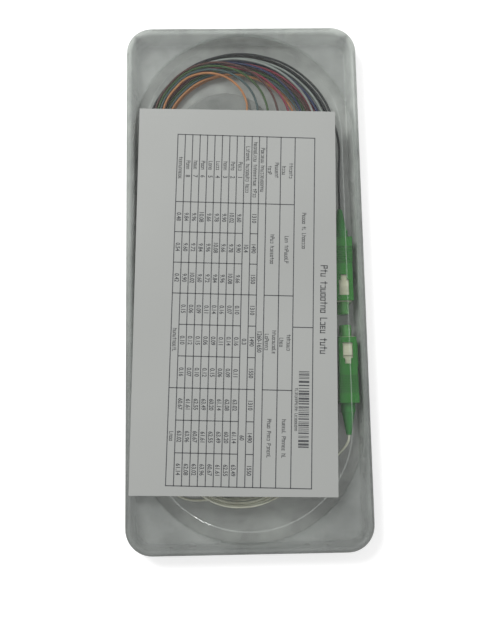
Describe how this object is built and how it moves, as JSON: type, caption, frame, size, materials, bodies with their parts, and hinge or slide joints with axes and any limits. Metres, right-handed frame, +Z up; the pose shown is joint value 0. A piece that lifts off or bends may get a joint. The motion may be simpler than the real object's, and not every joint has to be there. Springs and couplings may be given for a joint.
{
  "type": "packed fibre splitter",
  "caption": "Steel-tube fibre splitter whose plugged leads lie coiled round two hubs in a clear hinged pack, with a printed test sheet on the lid.",
  "frame": {"origin": "on the surface that the pack lies on, under the middle of its outline", "axes": "+X across the pack towards the hinge side, +Y along the pack towards the output coil, +Z up out of the lid"},
  "size_m": [0.092, 0.206, 0.0127],
  "materials": {
    "base_film": "semi-gloss thermoformed film, hazy",
    "lid_film": "clear gloss thermoformed film",
    "printed_paper": "matt office paper with black print",
    "steel_tube": "brushed",
    "end_plug_plastic": "matt",
    "optical_glass": "polished",
    "grip_plastic": "satin",
    "boot_plastic": "soft satin",
    "cap_plastic": "translucent",
    "frame_plastic": "satin",
    "zirconia": "polished",
    "spring_steel": "bright",
    "stop_ring_metal": "nickel plated",
    "lead_input": "satin",
    "lead_black": "satin",
    "lead_white": "satin",
    "lead_blue": "satin",
    "lead_red": "satin",
    "lead_brown": "satin",
    "lead_green": "satin",
    "lead_slate": "satin",
    "lead_orange": "satin"
  },
  "bodies": {
    "pack": {"tray_base": "base_film", "splitter_tube": "steel_tube", "input_end_plug": "end_plug_plastic", "output_end_plug": "end_plug_plastic", "splitter_chip": "optical_glass", "input_fibre_array": "optical_glass", "output_fibre_array": "optical_glass", "input_frame": "frame_plastic", "input_boot": "boot_plastic", "input_cap": "cap_plastic", "input_lead": "lead_input", "black_frame": "frame_plastic", "black_boot": "boot_plastic", "black_cap": "cap_plastic", "black_lead": "lead_black", "white_frame": "frame_plastic", "white_boot": "boot_plastic", "white_cap": "cap_plastic", "white_lead": "lead_white", "blue_frame": "frame_plastic", "blue_boot": "boot_plastic", "blue_cap": "cap_plastic", "blue_lead": "lead_blue", "red_frame": "frame_plastic", "red_boot": "boot_plastic", "red_cap": "cap_plastic", "red_lead": "lead_red", "brown_frame": "frame_plastic", "brown_boot": "boot_plastic", "brown_cap": "cap_plastic", "brown_lead": "lead_brown", "green_frame": "frame_plastic", "green_boot": "boot_plastic", "green_cap": "cap_plastic", "green_lead": "lead_green", "slate_frame": "frame_plastic", "slate_boot": "boot_plastic", "slate_cap": "cap_plastic", "slate_lead": "lead_slate", "orange_frame": "frame_plastic", "orange_boot": "boot_plastic", "orange_cap": "cap_plastic", "orange_lead": "lead_orange", "input_ferrule": "zirconia", "input_spring": "spring_steel", "input_stop_ring": "stop_ring_metal", "black_ferrule": "zirconia", "black_spring": "spring_steel", "black_stop_ring": "stop_ring_metal"},
    "lid": {"tray_lid": "lid_film", "data_sheet": "printed_paper"},
    "input_sleeve": {"input_grip": "grip_plastic"},
    "black_sleeve": {"black_grip": "grip_plastic"},
    "white_sleeve": {"white_grip": "grip_plastic"},
    "blue_sleeve": {"blue_grip": "grip_plastic"},
    "red_sleeve": {"red_grip": "grip_plastic"},
    "brown_sleeve": {"brown_grip": "grip_plastic"},
    "green_sleeve": {"green_grip": "grip_plastic"},
    "slate_sleeve": {"slate_grip": "grip_plastic"},
    "orange_sleeve": {"orange_grip": "grip_plastic"}
  },
  "joints": [
    {"name": "lid_hinge", "type": "hinge", "parent": "pack", "child": "lid", "pos_m": [0.046, 0, 0.0076], "axis": [0, 1, 0], "range_deg": [0, 180]},
    {"name": "input_grip_slide", "type": "slide", "parent": "pack", "child": "input_sleeve", "axis": [0, -1, 0], "range_m": [0, 0.0012]},
    {"name": "black_grip_slide", "type": "slide", "parent": "pack", "child": "black_sleeve", "axis": [0, 1, 0], "range_m": [0, 0.0012]},
    {"name": "white_grip_slide", "type": "slide", "parent": "pack", "child": "white_sleeve", "axis": [0, 1, 0], "range_m": [0, 0.0012]},
    {"name": "blue_grip_slide", "type": "slide", "parent": "pack", "child": "blue_sleeve", "axis": [0, 1, 0], "range_m": [0, 0.0012]},
    {"name": "red_grip_slide", "type": "slide", "parent": "pack", "child": "red_sleeve", "axis": [0, 1, 0], "range_m": [0, 0.0012]},
    {"name": "brown_grip_slide", "type": "slide", "parent": "pack", "child": "brown_sleeve", "axis": [0, 1, 0], "range_m": [0, 0.0012]},
    {"name": "green_grip_slide", "type": "slide", "parent": "pack", "child": "green_sleeve", "axis": [0, 1, 0], "range_m": [0, 0.0012]},
    {"name": "slate_grip_slide", "type": "slide", "parent": "pack", "child": "slate_sleeve", "axis": [0, 1, 0], "range_m": [0, 0.0012]},
    {"name": "orange_grip_slide", "type": "slide", "parent": "pack", "child": "orange_sleeve", "axis": [0, 1, 0], "range_m": [0, 0.0012]}
  ]
}
